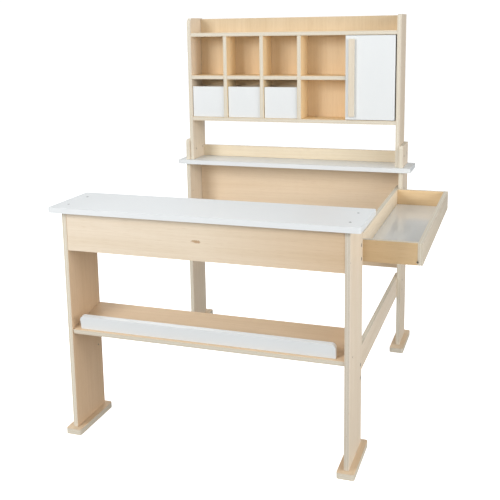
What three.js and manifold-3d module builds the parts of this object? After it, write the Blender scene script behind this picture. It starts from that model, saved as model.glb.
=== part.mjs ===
// A child's market stall of plywood and lacquered board: a serving counter in front, a shop unit with a
// shelf rack behind it, and a display tray and a stretcher rail that tie the two together on the right.
// Millimetres, +Z up. X runs along the counter, Y from the counter towards the shop unit.

import * as THREE from 'three';
import { mergeVertices } from 'three/addons/utils/BufferGeometryUtils.js';
import Module from 'manifold-3d';

const wasm = await Module();
wasm.setup();

// ---------------------------------------------------------------- sizes shared by the whole stall
const ply = 12;                // plywood of every plain board
const lacquered = 13.5;        // white lacquered tops
const gap = 0.3;               // between pieces that touch
const stallWidth = 715;        // over the outer faces of the side panels
const aisle = 631;             // clear way between counter and shop unit

// ---------------------------------------------------------------- counter
const counterDepth = 141;
const counterHeight = 593;
const counterOverhangSide = 26;
const counterOverhangFront = 20;
const counterOverhangRear = 26;
const topCornerRadius = 5;
const apronHeight = 97;
const apronInset = 1;
const shelfFrontHeight = 277.7;
const shelfDepth = 140;
const shelfTilt = THREE.MathUtils.degToRad(10.6);
const lipHeight = 35;
const lipThickness = 12;
const lipSetback = 7;
const lipEndGap = 21;
const lipCornerRadius = 10;

// ---------------------------------------------------------------- feet
const footWidth = 42;
const footHeight = 15;
const footLength = 167;
const footCornerRadius = 6;

// ---------------------------------------------------------------- shop unit
const unitDepth = 109;
const earHeight = 67;          // side panels over the work top, beside the rack posts
const earRadius = 9;
const workTopHeight = 585;
const workTopOverhangSide = 25;
const workTopOverhangFront = 12;
const backPanelBottom = 238;
const splashHeight = 37;

// ---------------------------------------------------------------- rack
const rackFloorLift = 130.5;   // underside of the rack floor over the work top
const rackCornerRadius = 18;
const rackSetback = 5.5;
const rackRim = 47.5;          // rack sides over the rack roof
const rackClearHeight = 260;   // between rack floor and rack roof
const rackShelfHeight = 123.5; // underside of the small shelves over the rack floor
const rackBackThickness = 6;
const rackBackRecess = 10;
const rackBackDrop = 2.5;      // rack back below the top of the rack sides
const narrowBay = 111;
const wideBay = 141;

// ---------------------------------------------------------------- door
const doorThickness = 12;
const doorEndGap = 1.5;
const doorHingeGap = 4;
const doorEdgeInset = 0.5;     // the door's free edge, inside the last divider's outer face
const dividerClearance = 1;    // behind the closed door
const pinRadius = 3;
const pinLength = 16;
const pinClearance = 0.3;
const pinEndGap = 0.5;
const pinInset = 8;            // from the hinged edge to the pin's axis
const gripWidth = 18;
const gripDepth = 10;
const gripInset = 11;
const gripEndGap = 10;

// ---------------------------------------------------------------- drawers
const drawerFingerGap = 24;    // over the drawer, below the small shelf
const drawerSideGap = 1.2;
const drawerFloorGap = 0.5;
const drawerSetback = 5;
const drawerRearGap = 4.5;
const drawerFront = 9;
const drawerWall = 6;
const drawerBottom = 4;

// ---------------------------------------------------------------- tray and rail
const trayReach = 149.5;       // from the inner board to the outer face
const trayHeight = 53;
const trayDrop = 50.5;         // from the lower of the two tops' undersides to the tray's rim
const trayFrontGap = 12;       // from the counter's side to the tray
const trayRearGap = 4;         // from the tray to the shop unit's side
const trayFloorThickness = 6;
const trayFloorLift = 2;
const fittingHoleRadius = 3;   // the blind hole low in the tray's front corner, across the joint of its boards
const fittingHoleDepth = 8;
const fittingHoleHeight = 7.5; // over the tray's lower edge
const railDrop = 41.7;         // from the goods shelf's front edge to the top of the rail
const railHeight = 62.5;

// ---------------------------------------------------------------- bolts
const boltShank = 3;           // radii
const boltClearance = 0.4;
const boltHead = 4.6;
const headThickness = 2.6;
const headSink = 0.6;          // head below the outer face
const socketRadius = 1.9;
const socketDepth = 1.4;
const lapBoltInset = 16;       // from a lapped board's end to its bolts
const frontLap = 28;
const rearLap = 55;
const lapBoltSpacing = 33;
const lapBoltFoot = 12.5;      // lowest bolt over the lapped board's lower edge
const earBoltInset = 24;
const spareHoleRadius = 2.2;   // one blind hole in the inner face of each left panel
const spareHoleDepth = 8;
const counterSpareHole = [122, 190]; // Y from the panel's front edge, and height
const unitSpareHole = [21, 474];
const screwHoleRadius = 2.2;   // of the counter's sides
const topScrewRadius = 3.6;    // holes for the screws' heads in the counter top
const topScrewInset = 25;      // from the front and rear edges of the counter's sides
const apronScrewHeight = 23;   // over the apron's lower edge
const shelfScrewInset = 30;    // along the goods shelf from its front edge

const round = 24;              // facets of a full circle
const overrun = 1;             // every cutter past the face it opens
const weldDistance = 1e-4;     // corners closer than this are one corner

// ---------------------------------------------------------------- places worked out from the sizes
const inner = [ply, stallWidth - ply];
const unitFront = counterDepth + aisle;
const unitRear = unitFront + unitDepth;
const counterTopUnder = counterHeight - lacquered;
const workTopUnder = workTopHeight - lacquered;
const sideFoot = footHeight + gap;
const rackX = [ply + gap, stallWidth - ply - gap];
const bayX = [rackX[0] + ply, rackX[1] - ply];
const rackFront = unitFront + rackSetback;
const rackBackFront = unitRear - rackBackRecess - rackBackThickness;
const earTop = workTopHeight + earHeight;
const rackFloorHeight = workTopHeight + rackFloorLift;
const rackFloorTop = rackFloorHeight + ply;
const rackRoofUnder = rackFloorTop + rackClearHeight;
const rackTop = rackRoofUnder + ply + rackRim;
const trayBottom = Math.min(counterTopUnder, workTopUnder) - trayDrop - trayHeight;
const railBottom = shelfFrontHeight - railDrop - railHeight;
const trayX = [inner[1], inner[1] + trayReach];
const trayY = [counterDepth + trayFrontGap, unitFront - trayRearGap];
const lapX = [inner[1] - ply, inner[1]];
const lapY = [counterDepth - frontLap, unitFront + rearLap];
const doorRight = bayX[1] - doorHingeGap;
const lastDivider = bayX[0] + 3 * narrowBay + wideBay + 3 * ply;
const doorLeft = lastDivider + doorEdgeInset;
const footprintMiddle = [
  (trayX[1] - counterOverhangSide) / 2,
  ((unitFront + unitRear + footLength) / 2 - counterOverhangFront) / 2,
];

// ---------------------------------------------------------------- materials
const wood = new THREE.MeshStandardMaterial({ color: 0xe3cba8, roughness: 0.6, metalness: 0 });
const paleWood = new THREE.MeshStandardMaterial({ color: 0xecdcc2, roughness: 0.6, metalness: 0 });
const lacquer = new THREE.MeshStandardMaterial({ color: 0xeef1f2, roughness: 0.35, metalness: 0 });
const panelWhite = new THREE.MeshStandardMaterial({ color: 0xd6d7d5, roughness: 0.5, metalness: 0 });
const steel = new THREE.MeshStandardMaterial({ color: 0x5d5f62, roughness: 0.4, metalness: 1 });

const stall = new THREE.Group();
stall.position.set(-footprintMiddle[0], -footprintMiddle[1], 0);

// ---------------------------------------------------------------- helpers
// A plane's local X and Y laid along the stall's Y and Z, so that its thickness runs along X.
const alongX = new THREE.Matrix4().makeBasis(
  new THREE.Vector3(0, 1, 0), new THREE.Vector3(0, 0, 1), new THREE.Vector3(1, 0, 0));

function add(name, geometry, material, position) {
  const mesh = new THREE.Mesh(geometry, material.clone());
  mesh.name = name;
  mesh.position.set(...position);
  stall.add(mesh);
  return mesh;
}

// A plain board between two limits on each axis.
function board(name, material, x, y, z) {
  const size = [x, y, z].map(([low, high]) => high - low);
  const middle = [x, y, z].map(([low, high]) => (low + high) / 2);
  return add(name, new THREE.BoxGeometry(...size), material, middle);
}

// A board with holes drilled in it, the drills placed in the stall's own coordinates.
function drilledBoard(name, material, x, y, z, drills) {
  const mesh = board(name, material, x, y, z);
  const { x: middleX, y: middleY, z: middleZ } = mesh.position;
  mesh.geometry = cut(mesh.geometry, drills.map((drill) => drill.translate(-middleX, -middleY, -middleZ)));
  return mesh;
}

// The span between two faces, less the gap at each end.
function fitted([low, high]) {
  return [low + gap, high - gap];
}

// A rectangle from the origin with its own radius at each corner: low-low, high-low, high-high, low-high.
function roundedOutline(width, height, radii) {
  const outline = new THREE.Shape();
  const corners = [[0, 0, Math.PI], [width, 0, -Math.PI / 2], [width, height, 0], [0, height, Math.PI / 2]];
  corners.forEach(([x, y, start], i) => {
    const r = radii[i];
    if (r === 0) {
      outline[i === 0 ? 'moveTo' : 'lineTo'](x, y);
      return;
    }
    const centre = [x + (x === 0 ? r : -r), y + (y === 0 ? r : -r)];
    if (i === 0) outline.moveTo(x, y + r);
    outline.absarc(centre[0], centre[1], r, start, start + Math.PI / 2, false);
  });
  outline.closePath();
  return outline;
}

function extruded(outline, thickness) {
  return new THREE.ExtrudeGeometry(outline, { depth: thickness, bevelEnabled: false, curveSegments: round / 4 });
}

function toSolid(geometry) {
  const bare = geometry.clone();
  bare.deleteAttribute('normal');
  bare.deleteAttribute('uv');
  const merged = mergeVertices(bare, weldDistance);
  return new wasm.Manifold(new wasm.Mesh({
    numProp: 3,
    vertProperties: new Float32Array(merged.attributes.position.array),
    triVerts: new Uint32Array(merged.index.array),
  }));
}

// The geometry with every tool taken out of it.
function cut(geometry, tools) {
  let solid = toSolid(geometry);
  tools.forEach((tool) => {
    solid = solid.subtract(toSolid(tool));
  });
  const mesh = solid.getMesh();
  const result = new THREE.BufferGeometry();
  result.setAttribute('position', new THREE.BufferAttribute(mesh.vertProperties, 3));
  result.setIndex(new THREE.BufferAttribute(mesh.triVerts, 1));
  return result;
}

// A drill or pin of one radius along an axis, between two limits on it.
function rod(axis, radius, [low, high], [a, b]) {
  const geometry = new THREE.CylinderGeometry(radius, radius, high - low, round);
  const middle = (low + high) / 2;
  if (axis === 'x') {
    geometry.rotateZ(Math.PI / 2);
    geometry.translate(middle, a, b);
  } else if (axis === 'y') {
    geometry.translate(a, middle, b);
  } else {
    geometry.rotateX(Math.PI / 2);
    geometry.translate(a, b, middle);
  }
  return geometry;
}

function ordered([a, b]) {
  return [Math.min(a, b), Math.max(a, b)];
}

// The bolt hole through both side panel and lapped board, and its sink for the head in one outer face.
function boltHole(outerFace, outward, centre) {
  const outside = outerFace + outward * overrun;
  const through = [outerFace - outward * (2 * ply + gap + overrun), outside];
  const sink = [outerFace - outward * (headSink + headThickness), outside];
  return [
    rod('x', boltShank + boltClearance, ordered(through), centre),
    rod('x', boltHead + boltClearance, ordered(sink), centre),
  ];
}

// Where the bolts of one lapped board sit: Y and Z of each.
function lapBolts(bottom) {
  const places = [];
  for (const y of [lapY[0] + lapBoltInset, lapY[1] - lapBoltInset]) {
    for (const z of [bottom + lapBoltFoot, bottom + lapBoltFoot + lapBoltSpacing]) places.push([y, z]);
  }
  return places;
}

// Where the bolts of one rack post sit: Y and Z of each.
function earBolts() {
  const z = (workTopHeight + earTop) / 2;
  return [[rackFront + earBoltInset, z], [unitRear - earBoltInset, z]];
}

// A side panel drawn in Y and Z, its holes drilled along X.
function sidePanel(name, x, y, z, radii, tools) {
  const outline = roundedOutline(y[1] - y[0], z[1] - z[0], radii);
  const geometry = extruded(outline, x[1] - x[0]).applyMatrix4(alongX);
  const local = tools.map((tool) => tool.translate(-x[0], -y[0], -z[0]));
  return add(name, cut(geometry, local), paleWood, [x[0], y[0], z[0]]);
}

// A foot is centred under its side panel, which spans Y from front to rear.
function foot(name, middleX, [front, rear]) {
  const outline = roundedOutline(footWidth, footLength, Array(4).fill(footCornerRadius));
  const start = (front + rear - footLength) / 2;
  add(name, extruded(outline, footHeight), paleWood, [middleX - footWidth / 2, start, 0]);
}

// The blind hole in the inner face of a left-hand panel.
function spareHole(front, [y, z]) {
  return rod('x', spareHoleRadius, [ply - spareHoleDepth, ply + overrun], [front + y, z]);
}

// The screw holes through one counter side, into the ends of the apron and of the goods shelf.
function counterScrewHoles([low, high]) {
  const apron = [apronInset + ply / 2, counterTopUnder - apronHeight + apronScrewHeight];
  const alongShelf = [Math.cos(shelfTilt), Math.sin(shelfTilt)];
  const shelf = [
    ply * alongShelf[1] + shelfScrewInset * alongShelf[0] + ply / 2 * alongShelf[1],
    shelfFrontHeight + shelfScrewInset * alongShelf[1] - ply / 2 * alongShelf[0],
  ];
  return [apron, shelf].map((place) => rod('x', screwHoleRadius, [low - overrun, high + overrun], place));
}

// The two X spans of a pair of side panels, left then right, with the outer face and its direction.
const sides = [
  { side: 'left', x: [0, ply], face: 0, outward: -1 },
  { side: 'right', x: [stallWidth - ply, stallWidth], face: stallWidth, outward: 1 },
];

// ---------------------------------------------------------------- counter
function counterSides() {
  const places = [...lapBolts(trayBottom), ...lapBolts(railBottom)].filter(([y]) => y < unitFront);
  for (const { side, x, face, outward } of sides) {
    const drilled = side === 'right'
      ? places.flatMap((place) => boltHole(face, outward, place))
      : [spareHole(0, counterSpareHole)];
    const tools = [...drilled, ...counterScrewHoles(x)];
    sidePanel(`counter_${side}_side`, x, [0, counterDepth], [sideFoot, counterTopUnder - gap], [0, 0, 0, 0], tools);
    foot(`counter_${side}_foot`, (x[0] + x[1]) / 2, [0, counterDepth]);
  }
}

function counterTop() {
  const width = stallWidth + 2 * counterOverhangSide;
  const depth = counterDepth + counterOverhangFront + counterOverhangRear;
  const corner = [-counterOverhangSide, -counterOverhangFront, counterTopUnder];
  const outline = roundedOutline(width, depth, Array(4).fill(topCornerRadius));
  const screws = [];
  for (const x of [ply / 2, stallWidth - ply / 2]) {
    for (const y of [topScrewInset, counterDepth - topScrewInset]) {
      const through = [-overrun, lacquered + overrun];
      screws.push(rod('z', topScrewRadius, through, [x - corner[0], y - corner[1]]));
    }
  }
  add('counter_top', cut(extruded(outline, lacquered), screws), lacquer, corner);
}

function counterApron() {
  const z = [counterTopUnder - apronHeight, counterTopUnder - gap];
  board('counter_apron', paleWood, fitted(inner), [apronInset, apronInset + ply], z);
}

// The goods shelf leans back-high, and its lip stands square to it near the front edge.
function goodsShelf() {
  const shelf = new THREE.Group();
  shelf.position.set(0, ply * Math.sin(shelfTilt), shelfFrontHeight);
  shelf.rotation.x = shelfTilt;
  stall.add(shelf);
  const span = fitted(inner);
  const plank = board('goods_shelf', wood, span, [0, shelfDepth], [-ply, 0]);
  const lipLength = inner[1] - inner[0] - 2 * lipEndGap;
  const outline = roundedOutline(lipLength, lipHeight, [0, 0, lipCornerRadius, lipCornerRadius]);
  const geometry = extruded(outline, lipThickness).rotateX(Math.PI / 2);
  const start = [inner[0] + lipEndGap, lipSetback + lipThickness, gap];
  shelf.add(plank, add('shelf_lip', geometry, lacquer, start));
}

// ---------------------------------------------------------------- shop unit
function unitSides() {
  const laps = [...lapBolts(trayBottom), ...lapBolts(railBottom)].filter(([y]) => y > unitFront);
  for (const { side, x, face, outward } of sides) {
    const bolted = side === 'right' ? [...laps, ...earBolts()] : earBolts();
    const tools = bolted.flatMap((place) => boltHole(face, outward, place));
    if (side === 'left') tools.push(spareHole(unitFront, unitSpareHole));
    sidePanel(`unit_${side}_side`, x, [unitFront, unitRear], [sideFoot, earTop], [0, 0, 0, earRadius], tools);
    foot(`unit_${side}_foot`, (x[0] + x[1]) / 2, [unitFront, unitRear]);
  }
}

// The work top is slotted from its rear edge, so that the side panels rise through it.
function workTop() {
  const y = [unitFront - workTopOverhangFront, unitRear];
  const width = stallWidth + 2 * workTopOverhangSide;
  const corner = [-workTopOverhangSide, y[0], workTopUnder];
  const outline = roundedOutline(width, y[1] - y[0], Array(4).fill(topCornerRadius));
  const slots = sides.map(({ x }) => {
    const slot = new THREE.BoxGeometry(ply + 2 * gap, unitDepth + gap + overrun, lacquered + 2 * overrun);
    const middleY = (unitFront - gap + unitRear + overrun) / 2;
    return slot.translate((x[0] + x[1]) / 2 - corner[0], middleY - corner[1], lacquered / 2);
  });
  add('work_top', cut(extruded(outline, lacquered), slots), lacquer, corner);
}

function unitBack() {
  const y = [unitRear - ply, unitRear];
  board('back_panel', wood, fitted(inner), y, [backPanelBottom, workTopUnder - gap]);
  board('splash_board', wood, fitted(bayX), y, [workTopHeight + gap, workTopHeight + splashHeight]);
}

// ---------------------------------------------------------------- rack
function rackSides() {
  const z = [workTopHeight + gap, rackTop];
  const radii = [0, 0, 0, rackCornerRadius];
  for (const [i, { side, face, outward }] of sides.entries()) {
    const x = i === 0 ? [rackX[0], rackX[0] + ply] : [rackX[1] - ply, rackX[1]];
    const tools = earBolts().flatMap((place) => boltHole(face, outward, place));
    sidePanel(`rack_${side}_side`, x, [rackFront, unitRear], z, radii, tools);
  }
}

function pinAxis() {
  return [doorRight - pinInset, rackFront + doorThickness / 2];
}

function rackBoards() {
  const x = fitted(bayX);
  const y = [rackFront, rackBackFront - gap];
  const radius = pinRadius + pinClearance;
  const half = pinLength / 2 + pinEndGap;
  const upper = rackRoofUnder - doorEndGap / 2;
  const lower = rackFloorTop + doorEndGap / 2;
  drilledBoard('rack_roof', wood, x, y, [rackRoofUnder, rackRoofUnder + ply],
    [rod('z', radius, [upper - half, upper + half], pinAxis())]);
  drilledBoard('rack_floor', wood, x, y, [rackFloorHeight, rackFloorTop],
    [rod('z', radius, [lower - half, lower + half], pinAxis())]);
  const backY = [rackBackFront, rackBackFront + rackBackThickness];
  board('rack_back', wood, x, backY, [rackFloorHeight, rackTop - rackBackDrop]);
}

// Four uprights: three between the open bays, and the last set back behind the closed door.
function rackDividers() {
  const z = fitted([rackFloorTop, rackRoofUnder]);
  for (let i = 0; i < 4; i += 1) {
    const isLast = i === 3;
    const left = isLast ? lastDivider : bayX[0] + (i + 1) * narrowBay + i * ply;
    const front = isLast ? rackFront + doorThickness + dividerClearance : rackFront;
    board(`rack_divider_${i + 1}`, wood, [left, left + ply], [front, rackBackFront - gap], z);
  }
}

function bayLeft(i) {
  return bayX[0] + i * (narrowBay + ply);
}

function rackShelves() {
  const z = [rackFloorTop + rackShelfHeight, rackFloorTop + rackShelfHeight + ply];
  for (let i = 0; i < 4; i += 1) {
    const right = i === 3 ? lastDivider : bayLeft(i) + narrowBay;
    board(`rack_shelf_${i + 1}`, wood, fitted([bayLeft(i), right]), [rackFront, rackBackFront - gap], z);
  }
}

// ---------------------------------------------------------------- door on its two pins
function door() {
  const x = [doorLeft, doorRight];
  const y = [rackFront, rackFront + doorThickness];
  const z = [rackFloorTop + doorEndGap, rackRoofUnder - doorEndGap];
  const half = pinLength / 2 + pinEndGap;
  const ends = [rackFloorTop + doorEndGap / 2, rackRoofUnder - doorEndGap / 2];
  const drills = ends.map((end) => rod('z', pinRadius + pinClearance, [end - half, end + half], pinAxis()));
  drilledBoard('cabinet_door', lacquer, x, y, z, drills);

  const gripX = [doorLeft + gripInset, doorLeft + gripInset + gripWidth];
  board('door_grip', paleWood, gripX, [rackFront - gap - gripDepth, rackFront - gap],
    [z[0] + gripEndGap, z[1] - gripEndGap]);

  ['lower', 'upper'].forEach((end, i) => {
    const pin = rod('z', pinRadius, [-pinLength / 2, pinLength / 2], [0, 0]);
    add(`door_pin_${end}`, pin, steel, [...pinAxis(), ends[i]]);
  });
}

// ---------------------------------------------------------------- drawers
// Each drawer is an open box of five glued boards that slides on the rack floor.
function drawer(number) {
  const left = bayLeft(number - 1) + drawerSideGap;
  const right = bayLeft(number - 1) + narrowBay - drawerSideGap;
  const front = rackFront + drawerSetback;
  const behind = front + drawerFront + gap;
  const rear = rackBackFront - drawerRearGap;
  const z = [rackFloorTop + drawerFloorGap, rackFloorTop + rackShelfHeight - drawerFingerGap];
  const named = (piece) => `drawer_${number}_${piece}`;
  const within = [left + drawerWall + gap, right - drawerWall - gap];
  board(named('front'), lacquer, [left, right], [front, front + drawerFront], z);
  board(named('left'), wood, [left, left + drawerWall], [behind, rear], z);
  board(named('right'), wood, [right - drawerWall, right], [behind, rear], z);
  board(named('back'), wood, within, [rear - drawerWall, rear], z);
  board(named('bottom'), wood, within, [behind, rear - drawerWall - gap], [z[0], z[0] + drawerBottom]);
}

// ---------------------------------------------------------------- tray and rail
// A board lapped on the inner faces of both right-hand side panels, drilled for its bolts.
function lappedBoard(name, bottom, height) {
  const x = [lapX[0], lapX[1] - gap];
  const z = [bottom, bottom + height];
  const tools = lapBolts(bottom).flatMap((place) => boltHole(stallWidth, 1, place));
  sidePanel(name, x, lapY, z, [0, 0, 0, 0], tools);
}

function tray() {
  const z = [trayBottom, trayBottom + trayHeight];
  const outer = [trayX[1] - ply, trayX[1]];
  const across = [trayX[0], outer[0] - gap];
  lappedBoard('tray_inner_board', trayBottom, trayHeight);
  const hole = () => rod('y', fittingHoleRadius, [trayY[0] - overrun, trayY[0] + fittingHoleDepth],
    [outer[0], z[0] + fittingHoleHeight]);
  drilledBoard('tray_outer_board', paleWood, outer, trayY, z, [hole()]);
  drilledBoard('tray_front_board', wood, across, [trayY[0], trayY[0] + ply], z, [hole()]);
  board('tray_rear_board', wood, across, [trayY[1] - ply, trayY[1]], z);
  const floorZ = [trayBottom + trayFloorLift, trayBottom + trayFloorLift + trayFloorThickness];
  board('tray_floor', panelWhite, across, fitted([trayY[0] + ply, trayY[1] - ply]), floorZ);
}

// ---------------------------------------------------------------- bolts of the rack posts
// A bolt with a flat socket head, drawn from its head's outer face inwards.
function boltProfile(length) {
  return [
    [0, socketDepth], [socketRadius, socketDepth], [socketRadius, 0], [boltHead, 0],
    [boltHead, headThickness], [boltShank, headThickness], [boltShank, length], [0, length],
  ].map(([r, at]) => new THREE.Vector2(r, at));
}

function postBolts() {
  const length = 2 * ply + gap - 2 * headSink;
  for (const { side, face, outward } of sides) {
    earBolts().forEach(([y, z], i) => {
      const geometry = new THREE.LatheGeometry(boltProfile(length), round);
      const end = i === 0 ? 'front' : 'rear';
      const bolt = add(`post_bolt_${side}_${end}`, geometry, steel, [face - outward * headSink, y, z]);
      bolt.rotation.z = outward * Math.PI / 2;
    });
  }
}

counterSides();
counterTop();
counterApron();
goodsShelf();
unitSides();
workTop();
unitBack();
rackSides();
rackBoards();
rackDividers();
rackShelves();
door();
[1, 2, 3].forEach(drawer);
tray();
lappedBoard('stretcher_rail', railBottom, railHeight);
postBolts();

const group = new THREE.Group();
group.add(stall);
export default group;
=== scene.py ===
import math

import bmesh
import bpy
from mathutils import Euler, Matrix, Vector


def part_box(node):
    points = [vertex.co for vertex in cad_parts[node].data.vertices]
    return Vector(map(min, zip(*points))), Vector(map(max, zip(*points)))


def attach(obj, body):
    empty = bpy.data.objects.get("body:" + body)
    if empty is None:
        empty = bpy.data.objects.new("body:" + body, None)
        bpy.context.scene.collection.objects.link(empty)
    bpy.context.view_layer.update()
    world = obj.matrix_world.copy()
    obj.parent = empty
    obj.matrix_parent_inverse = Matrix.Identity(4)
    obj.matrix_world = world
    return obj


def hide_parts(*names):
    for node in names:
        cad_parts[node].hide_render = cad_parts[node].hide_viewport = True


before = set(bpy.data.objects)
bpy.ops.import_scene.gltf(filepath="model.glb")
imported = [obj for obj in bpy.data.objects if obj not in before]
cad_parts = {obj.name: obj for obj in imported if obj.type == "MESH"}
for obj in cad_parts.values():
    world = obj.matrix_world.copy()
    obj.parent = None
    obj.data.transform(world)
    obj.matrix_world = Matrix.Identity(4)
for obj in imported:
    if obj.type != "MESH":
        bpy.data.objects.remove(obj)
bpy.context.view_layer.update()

# ------------------------------------------------------------------ counter sides
# Two upright panels of 12 mm plywood carry the serving counter, with the grain upright.
# They are sawn with clean edges that show the plies, eased with paper and given a clear matt varnish.
# Their inner faces carry painted shade, darker and warmer, and the right panel's edges are greyed by painted
# shade.
X, Y, Z = 0, 1, 2
PLY = 0.012
OUTER_VENEER = (0.80, 0.705, 0.58)
# Painted shade: a darker, warmer tint for the panels' inner faces.
INNER_FACE_PAINTED_SHADE = (0.95, 0.815, 0.68)
PLY_EDGE = (0.78, 0.735, 0.635)
# Painted shade that greys the right panel's edges.
EDGE_PAINTED_SHADE = (0.88, 0.87, 0.88)

# How often the wood's pattern repeats in a metre: with the grain, and across it.
FIGURE_PITCH = (1.3, 17.0)
STREAK_PITCH = (2.6, 190.0)
PORE_PITCH = (34.0, 1500.0)
END_GRAIN_PITCH = 420.0
KNOT_SWIRL_PITCH = 260.0

# The rings' wave turns this many radians over the figure's whole range.
RING_RADIANS = 46.0

# How strongly each pattern marks the wood, from 0 to 1.
FLAME_SHARE = 0.34
STREAK_SHARE = 0.85
PORE_SHARE = 0.6
END_GRAIN_SHARE = 0.7

# Tones that a colour is multiplied by: red, green and blue.
PALE_FIGURE = (1.03, 1.03, 1.04)
WARM_FIGURE = (0.95, 0.925, 0.885)
FLAME_TONE = (0.86, 0.80, 0.72)
STREAK_TONE = (0.955, 0.94, 0.92)
PORE_TONE = (0.86, 0.81, 0.74)
CROSS_PLY_TONE = (0.93, 0.905, 0.865)
GLUE_TONE = (0.76, 0.69, 0.60)
END_GRAIN_TONE = (0.86, 0.83, 0.78)
KNOT_TONE = (0.58, 0.42, 0.29)

# Shares of the board's thickness: half a glue line, half a ply's soft border, and how far from the
# middle the core reaches before the face veneer starts. Then the places that a board may be cut from.
GLUE_HALF = 0.004
BORDER_HALF = 0.020
CORE_REACH = 0.47
PLACES_IN_SHEET = 89


def grey(level):
    return (level, level, level)


def shade(colour, tone):
    return tuple(c * t for c, t in zip(colour, tone))


def nodes_of(material):
    material.use_nodes = True
    tree = material.node_tree
    return tree, tree.nodes["Principled BSDF"]


def join(tree, out_socket, in_socket):
    tree.links.new(out_socket, in_socket)


def object_place(tree):
    return tree.nodes.new("ShaderNodeTexCoord").outputs["Object"]


def math_node(tree, operation, *values):
    node = tree.nodes.new("ShaderNodeMath")
    node.operation = operation
    for socket, value in zip(node.inputs, values):
        if isinstance(value, (int, float)):
            socket.default_value = value
        else:
            join(tree, value, socket)
    return node.outputs[0]


def noise(tree, coordinates, detail, scale=1.0, roughness=0.5, distortion=0.0):
    node = tree.nodes.new("ShaderNodeTexNoise")
    join(tree, coordinates, node.inputs["Vector"])
    node.inputs["Scale"].default_value = scale
    node.inputs["Detail"].default_value = detail
    node.inputs["Roughness"].default_value = roughness
    node.inputs["Distortion"].default_value = distortion
    return node.outputs["Fac"]


def ramp(tree, factor, stops):
    node = tree.nodes.new("ShaderNodeValToRGB")
    elements = node.color_ramp.elements
    while len(elements) < len(stops):
        elements.new(1.0)
    for element, (position, colour) in zip(elements, stops):
        element.position = position
        element.color = (*colour, 1.0)
    join(tree, factor, node.inputs["Fac"])
    return node.outputs["Color"]


def mix(tree, factor, first, second, kind="MIX"):
    node = tree.nodes.new("ShaderNodeMix")
    node.data_type = "RGBA"
    node.blend_type = kind
    for socket, value in ((node.inputs[0], factor), (node.inputs[6], first), (node.inputs[7], second)):
        if isinstance(value, (int, float)):
            socket.default_value = value
        elif isinstance(value, tuple):
            socket.default_value = (*value, 1.0)
        else:
            join(tree, value, socket)
    return node.outputs[2]


def mapped(tree, coordinates, scale=(1, 1, 1), location=(0, 0, 0), rotation=(0, 0, 0)):
    node = tree.nodes.new("ShaderNodeMapping")
    join(tree, coordinates, node.inputs["Vector"])
    node.inputs["Scale"].default_value = scale
    node.inputs["Location"].default_value = location
    node.inputs["Rotation"].default_value = rotation
    return node.outputs["Vector"]


def set_roughness(tree, shader, pattern, at_low, at_high):
    spread = tree.nodes.new("ShaderNodeMapRange")
    join(tree, pattern, spread.inputs["Value"])
    spread.inputs["To Min"].default_value = at_low
    spread.inputs["To Max"].default_value = at_high
    join(tree, spread.outputs["Result"], shader.inputs["Roughness"])


def set_bump(tree, shader, height, strength, distance):
    bump = tree.nodes.new("ShaderNodeBump")
    bump.inputs["Strength"].default_value = strength
    bump.inputs["Distance"].default_value = distance
    join(tree, height, bump.inputs["Height"])
    join(tree, bump.outputs["Normal"], shader.inputs["Normal"])
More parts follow.
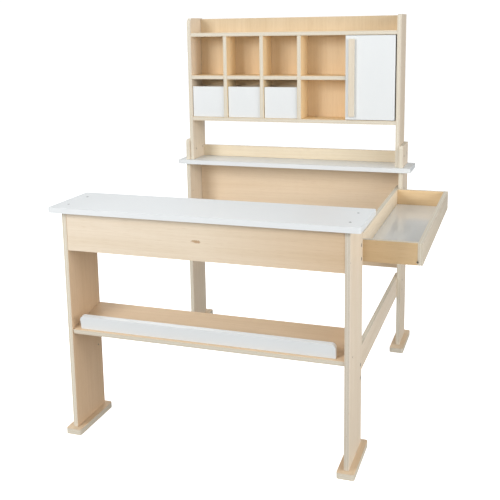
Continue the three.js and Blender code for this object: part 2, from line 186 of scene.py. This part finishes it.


# One board's wood, laid out from the board's own corner. The grain runs along one axis, and the plies lie
# across another, wherever a cut shows them. The options are a board that leans (corner, tilt), its knots
# (centre, length, width), a painted light-and-shade ramp along it (axis, length, near, middle, far), and
# painted shade on its inner face (the high or low side, tint).
def plywood(name, grain, thin, veneer, thickness=PLY, edge=PLY_EDGE, layers=5, corner=None, tilt=0.0,
            knots=(), painted_light_ramp=None, inner=None):
    material = bpy.data.materials.new(name + "_plywood")
    tree, shader = nodes_of(material)
    if corner is None:
        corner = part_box(name)[0]
    turn = Euler((-tilt, 0, 0)).to_matrix()
    local = mapped(tree, object_place(tree), location=-(turn @ Vector(corner)), rotation=(-tilt, 0, 0))
    separate = tree.nodes.new("ShaderNodeSeparateXYZ")
    join(tree, local, separate.inputs[0])

    def along(with_grain, across):
        return tuple(with_grain if axis == grain else across for axis in range(3))

    # Each board is cut from its own place in the sheet, so that no two show the same figure.
    cut = sum(ord(letter) * (i + 1) for i, letter in enumerate(name)) % PLACES_IN_SHEET
    figure_place = mapped(tree, local, along(*FIGURE_PITCH), (cut, 0.7 * cut, 0.3 * cut))
    streak_place = mapped(tree, local, along(*STREAK_PITCH), (0.4 * cut, cut, cut))
    pore_place = mapped(tree, local, along(*PORE_PITCH), (cut, cut, cut))
    figure = noise(tree, figure_place, detail=3.0, roughness=0.55, distortion=0.9)
    streak = noise(tree, streak_place, detail=2.0, roughness=0.6, distortion=0.2)
    pores = noise(tree, pore_place, detail=1.0)

    rings = math_node(tree, "SINE", math_node(tree, "MULTIPLY", figure, RING_RADIANS))
    flame = math_node(tree, "MULTIPLY_ADD", rings, 0.10, 0.5)
    cloud = ramp(tree, figure, ((0.30, shade(veneer, PALE_FIGURE)), (0.70, shade(veneer, WARM_FIGURE))))
    flamed = math_node(tree, "MULTIPLY", flame, FLAME_SHARE)
    figured = mix(tree, flamed, cloud, shade(veneer, FLAME_TONE))
    streaks = ramp(tree, streak, ((0.34, STREAK_TONE), (0.62, grey(1.0))))
    face = mix(tree, STREAK_SHARE, figured, streaks, "MULTIPLY")
    specks = ramp(tree, pores, ((0.30, PORE_TONE), (0.42, grey(1.0))))
    face = mix(tree, PORE_SHARE, face, specks, "MULTIPLY")
    # Painted light and shade: the colour is multiplied by a ramp of tones along one axis.
    if painted_light_ramp:
        axis, length, near, middle, far = painted_light_ramp
        way_along = math_node(tree, "DIVIDE", separate.outputs[axis], length)
        tone = ramp(tree, way_along, ((0.0, near), (0.5, middle), (1.0, far)))
        face = mix(tree, 1.0, face, tone, "MULTIPLY")

    depth = math_node(tree, "DIVIDE", separate.outputs[thin], thickness)
    # Painted shade: the inner face is darkened and warmed by the tint.
    if inner:
        side, tint = inner
        facing = math_node(tree, "GREATER_THAN" if side == "high" else "LESS_THAN", depth, 0.5)
        face = mix(tree, facing, face, mix(tree, 1.0, face, tint, "MULTIPLY"))

    cross_ply = shade(edge, CROSS_PLY_TONE)
    glue = shade(edge, GLUE_TONE)
    stops = [(0.0, edge)]
    for layer in range(layers - 1):
        at = (layer + 0.5) / (layers - 1)
        below, above = (edge, cross_ply) if layer % 2 == 0 else (cross_ply, edge)
        stops += [(at - BORDER_HALF, below), (at - GLUE_HALF, glue), (at + GLUE_HALF, glue),
                  (at + BORDER_HALF, above)]
    core = ramp(tree, depth, stops)
    ends = noise(tree, local, scale=END_GRAIN_PITCH, detail=3.0, roughness=0.7)
    end_grain = ramp(tree, ends, ((0.30, END_GRAIN_TONE), (0.60, grey(1.0))))
    core = mix(tree, END_GRAIN_SHARE, core, end_grain, "MULTIPLY")
    face = mix(tree, math_node(tree, "COMPARE", depth, 0.5, CORE_REACH), face, core)

    for centre, length, width in knots:
        place = turn @ (Vector(centre) - Vector(corner))
        pitch = along(1.0 / length, 1.0 / width)
        from_centre = tree.nodes.new("ShaderNodeVectorMath")
        from_centre.operation = "LENGTH"
        join(tree, mapped(tree, local, pitch, tuple(-p * s for p, s in zip(place, pitch))),
             from_centre.inputs[0])
        swirl = noise(tree, local, scale=KNOT_SWIRL_PITCH, detail=2.0, roughness=0.6)
        reach = math_node(tree, "ADD", from_centre.outputs["Value"], math_node(tree, "MULTIPLY", swirl, 0.9))
        halo = ramp(tree, reach, ((0.50, grey(1.0)), (0.85, grey(0.75)), (1.0, grey(0.25)), (1.0, grey(0.0))))
        face = mix(tree, halo, face, shade(veneer, KNOT_TONE))
    join(tree, face, shader.inputs["Base Color"])

    set_roughness(tree, shader, streak, at_low=0.62, at_high=0.46)
    relief = math_node(tree, "ADD", math_node(tree, "MULTIPLY", streak, 0.6), pores)
    set_bump(tree, shader, relief, strength=0.22, distance=0.0003)
    shader.inputs["IOR"].default_value = 1.45
    shader.inputs["Specular IOR Level"].default_value = 0.38
    return material


# The edges' easing is a small round, a little wider than the paper leaves on bare wood.
def finish_with(name, material, easing=0.0007, segments=2):
    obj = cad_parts[name]
    obj.data.materials.clear()
    obj.data.materials.append(material)
    weld = obj.modifiers.new("closed", "WELD")
    weld.merge_threshold = 0.00001
    bevel = obj.modifiers.new("eased", "BEVEL")
    bevel.width = easing
    bevel.segments = segments
    bevel.limit_method = "ANGLE"
    bevel.angle_limit = math.radians(40)


# Two pin knots in the right panel's front edge: from its left face, height, length and width.
LEG_KNOTS = ((0.0107, 0.1556, 0.0022, 0.0014), (0.0056, 0.0998, 0.0018, 0.0014))
leg_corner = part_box("counter_right_side")[0]
finish_with("counter_left_side", plywood("counter_left_side", Z, X, OUTER_VENEER, inner=("high", INNER_FACE_PAINTED_SHADE)))
finish_with("counter_right_side",
            plywood("counter_right_side", Z, X, OUTER_VENEER, edge=shade(PLY_EDGE, EDGE_PAINTED_SHADE),
                    inner=("low", INNER_FACE_PAINTED_SHADE),
                    knots=[((leg_corner.x + across, leg_corner.y, height), length, width)
                           for across, height, length, width in LEG_KNOTS]))

# ------------------------------------------------------------------ feet
# A flat runner of 15 mm plywood under each side panel, glued and screwed from below.
# Its corners are rounded, and its long edges show the layers of the sheet.
FOOT_VENEER = (0.76, 0.61, 0.44)
FOOT_THICKNESS = 0.015
for name in ("counter_left_foot", "counter_right_foot", "unit_left_foot", "unit_right_foot"):
    finish_with(name, plywood(name, Y, Z, FOOT_VENEER, thickness=FOOT_THICKNESS, layers=7), easing=0.0012)

# ------------------------------------------------------------------ counter top
# Serving top of 13.5 mm board, lacquered white all over in a satin finish, with rounded edges and corners.
# It lies on the side panels, and four blackened screws go down into them, their heads flush.
LACQUER_WHITE = (0.775, 0.805, 0.82)
DARK_STEEL = (0.040, 0.038, 0.036)
WORN_STEEL = (0.085, 0.080, 0.075)
TOP_SCREW = dict(head=0.0034, height=0.0024, shank=0.0020, length=0.0122, socket=0.0017, socket_depth=0.0014)
TOP_SCREW_INSET = 0.025
SCREW_SINK = 0.0003


def lacquer(name):
    material = bpy.data.materials.new(name + "_lacquer")
    tree, shader = nodes_of(material)
    place = object_place(tree)
    cloud = noise(tree, place, scale=5.0, detail=2.0, distortion=0.3)
    tint = ramp(tree, cloud, ((0.30, shade(LACQUER_WHITE, grey(0.985))),
                              (0.70, shade(LACQUER_WHITE, grey(1.01)))))
    join(tree, tint, shader.inputs["Base Color"])
    set_roughness(tree, shader, noise(tree, place, scale=30.0, detail=3.0, roughness=0.6), 0.30, 0.42)
    set_bump(tree, shader, noise(tree, place, scale=620.0, detail=2.0), strength=0.06, distance=0.0002)
    shader.inputs["IOR"].default_value = 1.5
    return material


def blackened(name):
    material = bpy.data.materials.new(name + "_blackened_steel")
    tree, shader = nodes_of(material)
    mottle = noise(tree, object_place(tree), scale=900.0, detail=3.0, roughness=0.6)
    join(tree, ramp(tree, mottle, ((0.3, DARK_STEEL), (0.7, WORN_STEEL))), shader.inputs["Base Color"])
    set_roughness(tree, shader, mottle, 0.45, 0.62)
    shader.inputs["Metallic"].default_value = 0.3
    shader.inputs["Specular IOR Level"].default_value = 0.2
    return material


# Draws a face up or down along the bolt. It is kept only where it is to close the other end.
def pull_face(mesh, face, distance, keep=False):
    pulled = bmesh.ops.extrude_face_region(mesh, geom=[face], use_keep_orig=keep)
    corners = [v for v in pulled["geom"] if isinstance(v, bmesh.types.BMVert)]
    bmesh.ops.translate(mesh, verts=corners, vec=(0, 0, distance))
    if not keep:
        bmesh.ops.delete(mesh, geom=[face], context="FACES_ONLY")


def smallest_face(mesh, way):
    return min((f for f in mesh.faces if f.normal.z * way > 0.9), key=lambda f: f.calc_area())


# A bolt or screw with a flat round head, a hexagon socket in it and a plain shank. It is made upright, then
# laid so that its head's face is at a point and looks along a direction. Head, shank and socket are radii.
def socket_bolt(name, face, outward, head, height, shank, length, socket, socket_depth):
    mesh = bmesh.new()
    made = bmesh.ops.create_circle(mesh, cap_ends=True, segments=24, radius=head)
    pull_face(mesh, made["verts"][0].link_faces[0], -height, keep=True)
    bmesh.ops.recalc_face_normals(mesh, faces=mesh.faces[:])
    under = min(mesh.faces, key=lambda f: f.calc_center_median().z)
    bmesh.ops.inset_region(mesh, faces=[under], thickness=head - shank, use_even_offset=True)
    pull_face(mesh, smallest_face(mesh, -1), height - length)
    top = max(mesh.faces, key=lambda f: f.calc_center_median().z)
    bmesh.ops.inset_region(mesh, faces=[top], thickness=head - socket, use_even_offset=True)
    hexagon = smallest_face(mesh, 1)
    for vertex in hexagon.verts:
        angle = math.atan2(vertex.co.y, vertex.co.x)
        reach = socket * math.cos(math.pi / 6) / math.cos((angle % (math.pi / 3)) - math.pi / 6)
        vertex.co.x = reach * math.cos(angle)
        vertex.co.y = reach * math.sin(angle)
    pull_face(mesh, hexagon, -socket_depth)

    close = 1e-6
    rim = [e for e in mesh.edges
           if all(abs(v.co.z) < close and abs(v.co.xy.length - head) < close for v in e.verts)]
    bmesh.ops.bevel(mesh, geom=rim, offset=0.0004, affect="EDGES", segments=2, profile=0.5, material=-1)
    bmesh.ops.recalc_face_normals(mesh, faces=mesh.faces[:])
    mesh.transform(Vector((0, 0, 1)).rotation_difference(Vector(outward)).to_matrix().to_4x4())
    bmesh.ops.translate(mesh, verts=mesh.verts[:], vec=face)
    data = bpy.data.meshes.new(name)
    mesh.to_mesh(data)
    mesh.free()
    data.materials.append(blackened(name))
    obj = bpy.data.objects.new(name, data)
    bpy.context.scene.collection.objects.link(obj)
    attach(obj, "stall")
    return obj


finish_with("counter_top", lacquer("counter_top"), easing=0.0028, segments=4)
top_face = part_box("counter_top")[1].z
for side in ("left", "right"):
    low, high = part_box(f"counter_{side}_side")
    for end, y in (("front", low.y + TOP_SCREW_INSET), ("rear", high.y - TOP_SCREW_INSET)):
        socket_bolt(f"top_screw_{side}_{end}", ((low.x + high.x) / 2, y, top_face - SCREW_SINK), (0, 0, 1),
                    **TOP_SCREW)

# ------------------------------------------------------------------ counter apron
# A plywood board between the side panels, close under the top, with its grain along the counter.
# It is glued and screwed at both ends. Painted light makes the veneer paler and bluer at the left end and
# darker at the right, and it has one small knot.
APRON_VENEER = (0.81, 0.70, 0.545)
# Painted light and shade along the apron: the tones at its left end, middle and right end.
APRON_PAINTED_LIGHT_TONES = ((1.05, 1.08, 1.15), (1.0, 1.01, 1.04), (0.84, 0.75, 0.66))
KNOT_FROM_MIDDLE = -0.00425
KNOT_UP = 0.0465
KNOT_LENGTH = 0.023
KNOT_WIDTH = 0.0075
apron_low, apron_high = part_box("counter_apron")
knot_x = (apron_low.x + apron_high.x) / 2 + KNOT_FROM_MIDDLE
apron_knot = ((knot_x, apron_low.y, apron_low.z + KNOT_UP), KNOT_LENGTH, KNOT_WIDTH)
finish_with("counter_apron", plywood("counter_apron", X, Y, APRON_VENEER, knots=[apron_knot],
                                     painted_light_ramp=(X, apron_high.x - apron_low.x, *APRON_PAINTED_LIGHT_TONES)))

# ------------------------------------------------------------------ goods shelf and its lip
# A plywood shelf, glued and screwed between the counter's sides so that it leans back-high and shows its
# goods to the buyer. The lip is a lacquered strip glued square to it, set back from the front edge.
SHELF_VENEER = (0.77, 0.60, 0.42)
SHELF_TILT = math.radians(10.6)
PIN_KNOT_LENGTH = 0.0022
PIN_KNOT_WIDTH = 0.0014
SHELF_KNOT_FROM_END = 0.0417
SHELF_KNOT_UP = 0.011
shelf_low, shelf_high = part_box("goods_shelf")
shelf_turn = Euler((SHELF_TILT, 0, 0)).to_matrix()
shelf_heel = Vector((shelf_low.x, shelf_low.y, shelf_low.z + PLY * math.cos(SHELF_TILT)))
shelf_corner = shelf_heel + shelf_turn @ Vector((0, 0, -PLY))
shelf_knot = (shelf_high.x - SHELF_KNOT_FROM_END, shelf_corner.y, shelf_corner.z + SHELF_KNOT_UP)
finish_with("goods_shelf", plywood("goods_shelf", X, Z, SHELF_VENEER, corner=shelf_corner, tilt=SHELF_TILT,
                                   knots=[(shelf_knot, PIN_KNOT_LENGTH, PIN_KNOT_WIDTH)]))
finish_with("shelf_lip", lacquer("shelf_lip"), easing=0.0015, segments=3)

# ------------------------------------------------------------------ screws in the counter's sides
# One small blackened screw through each side panel into each end of the apron and of the goods shelf.
# Their heads lie flush in the panels' outer faces.
SIDE_SCREW = dict(head=0.0021, height=0.0016, shank=0.0014, length=0.0115, socket=0.0011, socket_depth=0.0009)
APRON_SCREW_UP = 0.023
SHELF_SCREW_INSET = 0.030
shelf_screw = shelf_heel + shelf_turn @ Vector((0, SHELF_SCREW_INSET, -PLY / 2))
for what, y, z in (("apron", apron_low.y + PLY / 2, apron_low.z + APRON_SCREW_UP),
                   ("shelf", shelf_screw.y, shelf_screw.z)):
    for side, outward in (("left", -1), ("right", 1)):
        low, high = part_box(f"counter_{side}_side")
        x = high.x - SCREW_SINK if outward > 0 else low.x + SCREW_SINK
        socket_bolt(f"{what}_screw_{side}", (x, y, z), (outward, 0, 0), **SIDE_SCREW)

# ------------------------------------------------------------------ shop unit's sides
# The taller pair of 12 mm plywood panels, with the grain upright like the counter's.
# They rise through slots in the work top, as ears that the rack's posts are bolted to.
for name in ("unit_left_side", "unit_right_side"):
    finish_with(name, plywood(name, Z, X, OUTER_VENEER))

# ------------------------------------------------------------------ work top
# White lacquered board like the counter's, with a little less rounding.
# It is slotted from its rear edge, and slides on round the side panels.
finish_with("work_top", lacquer("work_top"), easing=0.0024, segments=4)

# ------------------------------------------------------------------ back panel and splash board
# Plywood boards with the grain across the unit, dowelled and glued between its sides. One closes the back
# below the work top, and the low one stands on the top's rear edge between the rack posts.
BACK_VENEER = (0.87, 0.71, 0.525)
SPLASH_VENEER = (0.83, 0.745, 0.59)
for name, veneer in (("back_panel", BACK_VENEER), ("splash_board", SPLASH_VENEER)):
    finish_with(name, plywood(name, X, Y, veneer))

# ------------------------------------------------------------------ rack carcass
# Two posts, roof, floor, four uprights and four shelves of 12 mm plywood, with a thin back let in between
# the posts. Everything is dowelled and glued, and the front edges are left to show their layers.
RACK_VENEER = (0.92, 0.745, 0.485)
RACK_BACK_VENEER = (0.85, 0.67, 0.45)
# Painted light and shade on the thin back: a little paler low down, darker and cooler towards its top.
RACK_BACK_PAINTED_SHADE_TONES = ((1.08, 1.08, 1.08), (1.06, 1.06, 1.05), (0.80, 0.84, 0.88))
RACK_BACK_THICKNESS = 0.006
RACK_KNOT_WIDTH = 0.0013
FLOOR_KNOT_FROM_LEFT = 0.4374
FLOOR_KNOT_UP = 0.0025
UPRIGHT_KNOT_FROM_RIGHT = 0.0036
UPRIGHT_KNOT_UP = 0.0372
for name in ("rack_left_side", "rack_right_side"):
    finish_with(name, plywood(name, Z, X, OUTER_VENEER))
floor_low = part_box("rack_floor")[0]
upright_low, upright_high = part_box("rack_divider_3")
floor_knot = (floor_low.x + FLOOR_KNOT_FROM_LEFT, floor_low.y, floor_low.z + FLOOR_KNOT_UP)
upright_knot = (upright_high.x - UPRIGHT_KNOT_FROM_RIGHT, upright_low.y, upright_low.z + UPRIGHT_KNOT_UP)
rack_knots = {"rack_floor": [(floor_knot, PIN_KNOT_LENGTH, RACK_KNOT_WIDTH)],
              "rack_divider_3": [(upright_knot, PIN_KNOT_LENGTH, RACK_KNOT_WIDTH)]}
for name in ("rack_roof", "rack_floor", "rack_shelf_1", "rack_shelf_2", "rack_shelf_3", "rack_shelf_4"):
    finish_with(name, plywood(name, X, Z, RACK_VENEER, knots=rack_knots.get(name, ())))
for name in ("rack_divider_1", "rack_divider_2", "rack_divider_3", "rack_divider_4"):
    finish_with(name, plywood(name, Z, X, RACK_VENEER, knots=rack_knots.get(name, ())))
back_low, back_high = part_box("rack_back")
finish_with("rack_back", plywood("rack_back", Z, Y, RACK_BACK_VENEER, thickness=RACK_BACK_THICKNESS, layers=3,
                                 painted_light_ramp=(Z, back_high.z - back_low.z, *RACK_BACK_PAINTED_SHADE_TONES)))

# ------------------------------------------------------------------ cabinet door
# An inset door of white lacquered board, hung on two blackened steel pins near its right edge.
# A square strip of bare wood, glued on near the free edge, is its grip.
GRIP_WOOD = (0.77, 0.71, 0.60)
GRIP_THICKNESS = 0.010
finish_with("cabinet_door", lacquer("cabinet_door"), easing=0.0010, segments=3)
finish_with("door_grip", plywood("door_grip", Z, Y, GRIP_WOOD, thickness=GRIP_THICKNESS, layers=3),
            easing=0.0012, segments=3)
for name in ("door_pin_lower", "door_pin_upper"):
    finish_with(name, blackened(name), easing=0.0004)

# ------------------------------------------------------------------ drawers
# Three boxes that slide on the rack floor, without knobs: a finger reaches over the front.
# White lacquered fronts on thin plywood sides, backs and bottoms, all glued.
DRAWER_WOOD = (0.78, 0.66, 0.50)
DRAWER_WALL = 0.006
DRAWER_BOTTOM = 0.004
for i in (1, 2, 3):
    finish_with(f"drawer_{i}_front", lacquer(f"drawer_{i}_front"), easing=0.0008, segments=3)
    for piece, grain, thin, thickness in (("left", Y, X, DRAWER_WALL), ("right", Y, X, DRAWER_WALL),
                                          ("back", X, Y, DRAWER_WALL), ("bottom", X, Z, DRAWER_BOTTOM)):
        name = f"drawer_{i}_{piece}"
        finish_with(name, plywood(name, grain, thin, DRAWER_WOOD, thickness=thickness, layers=3),
                    easing=0.0005)

# ------------------------------------------------------------------ side tray
# A shallow tray of plywood boards butted and glued at the corners, its inner board bolted to both
# right-hand side panels. The floor is a thin panel with a smooth pale grey coat.
TRAY_VENEER = (0.77, 0.58, 0.35)
# Painted light: the inner board's veneer is made paler where the light from the right falls on it.
TRAY_INNER_VENEER_PAINTED_LIGHT = (0.88, 0.775, 0.62)
TRAY_OUTER_VENEER = (0.67, 0.61, 0.51)
TRAY_GREY = (0.80, 0.81, 0.79)


def coated_panel(name):
    material = bpy.data.materials.new(name + "_coat")
    tree, shader = nodes_of(material)
    place = object_place(tree)
    cloud = noise(tree, place, scale=9.0, detail=3.0, roughness=0.55, distortion=0.5)
    tint = ramp(tree, cloud, ((0.3, shade(TRAY_GREY, grey(0.96))), (0.7, shade(TRAY_GREY, grey(1.02)))))
    join(tree, tint, shader.inputs["Base Color"])
    set_roughness(tree, shader, noise(tree, place, scale=60.0, detail=3.0, roughness=0.6), 0.10, 0.17)
    set_bump(tree, shader, noise(tree, place, scale=700.0, detail=2.0), strength=0.05, distance=0.0002)
    return material


for name, grain, thin, veneer in (("tray_inner_board", Y, X, TRAY_INNER_VENEER_PAINTED_LIGHT),
                                  ("tray_outer_board", Y, X, TRAY_OUTER_VENEER),
                                  ("tray_front_board", X, Y, TRAY_VENEER),
                                  ("tray_rear_board", X, Y, TRAY_VENEER)):
    finish_with(name, plywood(name, grain, thin, veneer))
finish_with("tray_floor", coated_panel("tray_floor"), easing=0.0004)

# ------------------------------------------------------------------ stretcher rail
# A wide rail of 12 mm plywood low on the right, with its grain along it.
# It ties the counter to the shop unit, bolted to the inner faces of both side panels like the tray.
finish_with("stretcher_rail", plywood("stretcher_rail", Y, X, OUTER_VENEER))

# ------------------------------------------------------------------ bolts
# Blackened connector bolts with hexagon sockets, their heads sunk in the side panels' outer faces.
# Two hold each end of the tray and of the rail, and two hold each rack post to its ear.
BOLT = dict(head=0.0046, height=0.0026, shank=0.0030, length=0.0231, socket=0.0021, socket_depth=0.0016)
BOLT_SINK = 0.0006
BOLT_INSET = 0.016
BOLT_FOOT = 0.0125
BOLT_SPACING = 0.033
right_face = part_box("counter_right_side")[1].x
for board, what in (("tray_inner_board", "tray"), ("stretcher_rail", "rail")):
    low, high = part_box(board)
    for end, y in (("front", low.y + BOLT_INSET), ("rear", high.y - BOLT_INSET)):
        for row, z in (("lower", low.z + BOLT_FOOT), ("upper", low.z + BOLT_FOOT + BOLT_SPACING)):
            socket_bolt(f"{what}_bolt_{end}_{row}", (right_face - BOLT_SINK, y, z), (1, 0, 0), **BOLT)
for side, outward in (("left", -1), ("right", 1)):
    for end in ("front", "rear"):
        low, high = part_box(f"post_bolt_{side}_{end}")
        face = (high.x if outward > 0 else low.x, (low.y + high.y) / 2, (low.z + high.z) / 2)
        bolt = socket_bolt(f"rack_bolt_{side}_{end}", face, (outward, 0, 0), **BOLT)
        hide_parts(f"post_bolt_{side}_{end}")

# ------------------------------------------------------------------ studio floor and surroundings
# A wide white floor and an even white room round it. Both look bright white to the camera, but the light
# that they give the stall is dimmer, so that its undersides and inner corners stay shaded.
FLOOR_HALF = 30.0
FLOOR_PAINT = (0.82, 0.82, 0.82, 1.0)
FLOOR_DIM = (0.42, 0.42, 0.42, 1.0)
ROOM_TINT = (0.97, 0.985, 1.0, 1.0)
PURE_WHITE = (1.0, 1.0, 1.0, 1.0)


# What the camera sees directly is the second shader, and everything else sees the first.
def split_for_camera(tree, others, direct, output):
    seen = tree.nodes.new("ShaderNodeLightPath")
    either = tree.nodes.new("ShaderNodeMixShader")
    join(tree, seen.outputs["Is Camera Ray"], either.inputs[0])
    join(tree, others.outputs[0], either.inputs[1])
    join(tree, direct.outputs[0], either.inputs[2])
    join(tree, either.outputs[0], tree.nodes[output].inputs["Surface"])


floor_data = bpy.data.meshes.new("studio_floor")
floor_mesh = bmesh.new()
bmesh.ops.create_grid(floor_mesh, x_segments=1, y_segments=1, size=FLOOR_HALF)
floor_mesh.to_mesh(floor_data)
floor_mesh.free()
floor_paint = bpy.data.materials.new("studio_floor_paint")
floor_tree, floor_shader = nodes_of(floor_paint)
floor_shader.inputs["Base Color"].default_value = FLOOR_PAINT
floor_shader.inputs["Roughness"].default_value = 0.9
floor_shader.inputs["Specular IOR Level"].default_value = 0.0
floor_shader.inputs["Emission Color"].default_value = PURE_WHITE
floor_shader.inputs["Emission Strength"].default_value = 0.78
floor_dim = floor_tree.nodes.new("ShaderNodeBsdfDiffuse")
floor_dim.inputs["Color"].default_value = FLOOR_DIM
split_for_camera(floor_tree, floor_dim, floor_shader, "Material Output")
floor_data.materials.append(floor_paint)
floor = bpy.data.objects.new("studio_floor", floor_data)
bpy.context.scene.collection.objects.link(floor)

world = bpy.data.worlds.new("studio")
bpy.context.scene.world = world
world.use_nodes = True
surround = world.node_tree.nodes["Background"]
surround.inputs["Color"].default_value = ROOM_TINT
surround.inputs["Strength"].default_value = 0.40
backdrop = world.node_tree.nodes.new("ShaderNodeBackground")
backdrop.inputs["Color"].default_value = PURE_WHITE
backdrop.inputs["Strength"].default_value = 1.05
split_for_camera(world.node_tree, surround, backdrop, "World Output")

# ------------------------------------------------------------------ studio lights
# Five large square softboxes. The strongest stands front left, two weaker ones fill from the right, one
# hangs overhead and one stands behind on the left. A row is its name, place, aim, side, watts and colour.
WARM_WHITE = (1.0, 0.99, 0.975)
COOL_WHITE = (0.98, 0.99, 1.0)
SOFTBOXES = (
    ("front_left_softbox", (-1.9, -3.0, 1.85), (0.0, 0.1, 0.60), 1.5, 80.0, WARM_WHITE),
    ("front_right_softbox", (2.6, -2.2, 1.2), (0.2, -0.1, 0.55), 1.4, 26.0, WARM_WHITE),
    ("right_softbox", (2.6, -0.72, 1.15), (0.3, -0.3, 0.42), 0.9, 27.0, WARM_WHITE),
    ("top_softbox", (0.0, 0.2, 3.2), (0.0, 0.1, 0.5), 2.0, 14.0, COOL_WHITE),
    ("rear_softbox", (-1.8, 2.8, 3.0), (0.0, 0.2, 0.55), 1.6, 30.0, WARM_WHITE),
)
for name, place, aim, side, watts, colour in SOFTBOXES:
    light = bpy.data.lights.new(name, "AREA")
    light.shape = "RECTANGLE"
    light.size = side
    light.size_y = side
    light.energy = watts
    light.color = colour
    softbox = bpy.data.objects.new(name, light)
    softbox.location = place
    softbox.rotation_euler = (Vector(aim) - Vector(place)).to_track_quat("-Z", "Y").to_euler()
    bpy.context.scene.collection.objects.link(softbox)

# ------------------------------------------------------------------ camera
# It stands on the customer's side, right of the middle and a metre up, and looks slightly down.
# The lens is shifted down as well, so that the upright panels lean in only a little.
CAMERA_PLACE = (0.6436, -2.0988, 1.0141)
CAMERA_DOWN = math.radians(10.256)
CAMERA_ROLL = math.radians(0.881)
CAMERA_TURN = math.radians(18.825)
camera_data = bpy.data.cameras.new("camera")
camera_data.sensor_width = 36.0
camera_data.lens = 57.681
camera_data.shift_x = 0.0002
camera_data.shift_y = -0.155
camera_data.clip_end = 100.0
camera = bpy.data.objects.new("camera", camera_data)
camera_angles = Euler((math.pi / 2 - CAMERA_DOWN, CAMERA_ROLL, CAMERA_TURN))
camera.matrix_world = Matrix.LocRotScale(Vector(CAMERA_PLACE), camera_angles, None)
bpy.context.scene.collection.objects.link(camera)
bpy.context.scene.camera = camera
bpy.context.scene.view_settings.view_transform = "Standard"
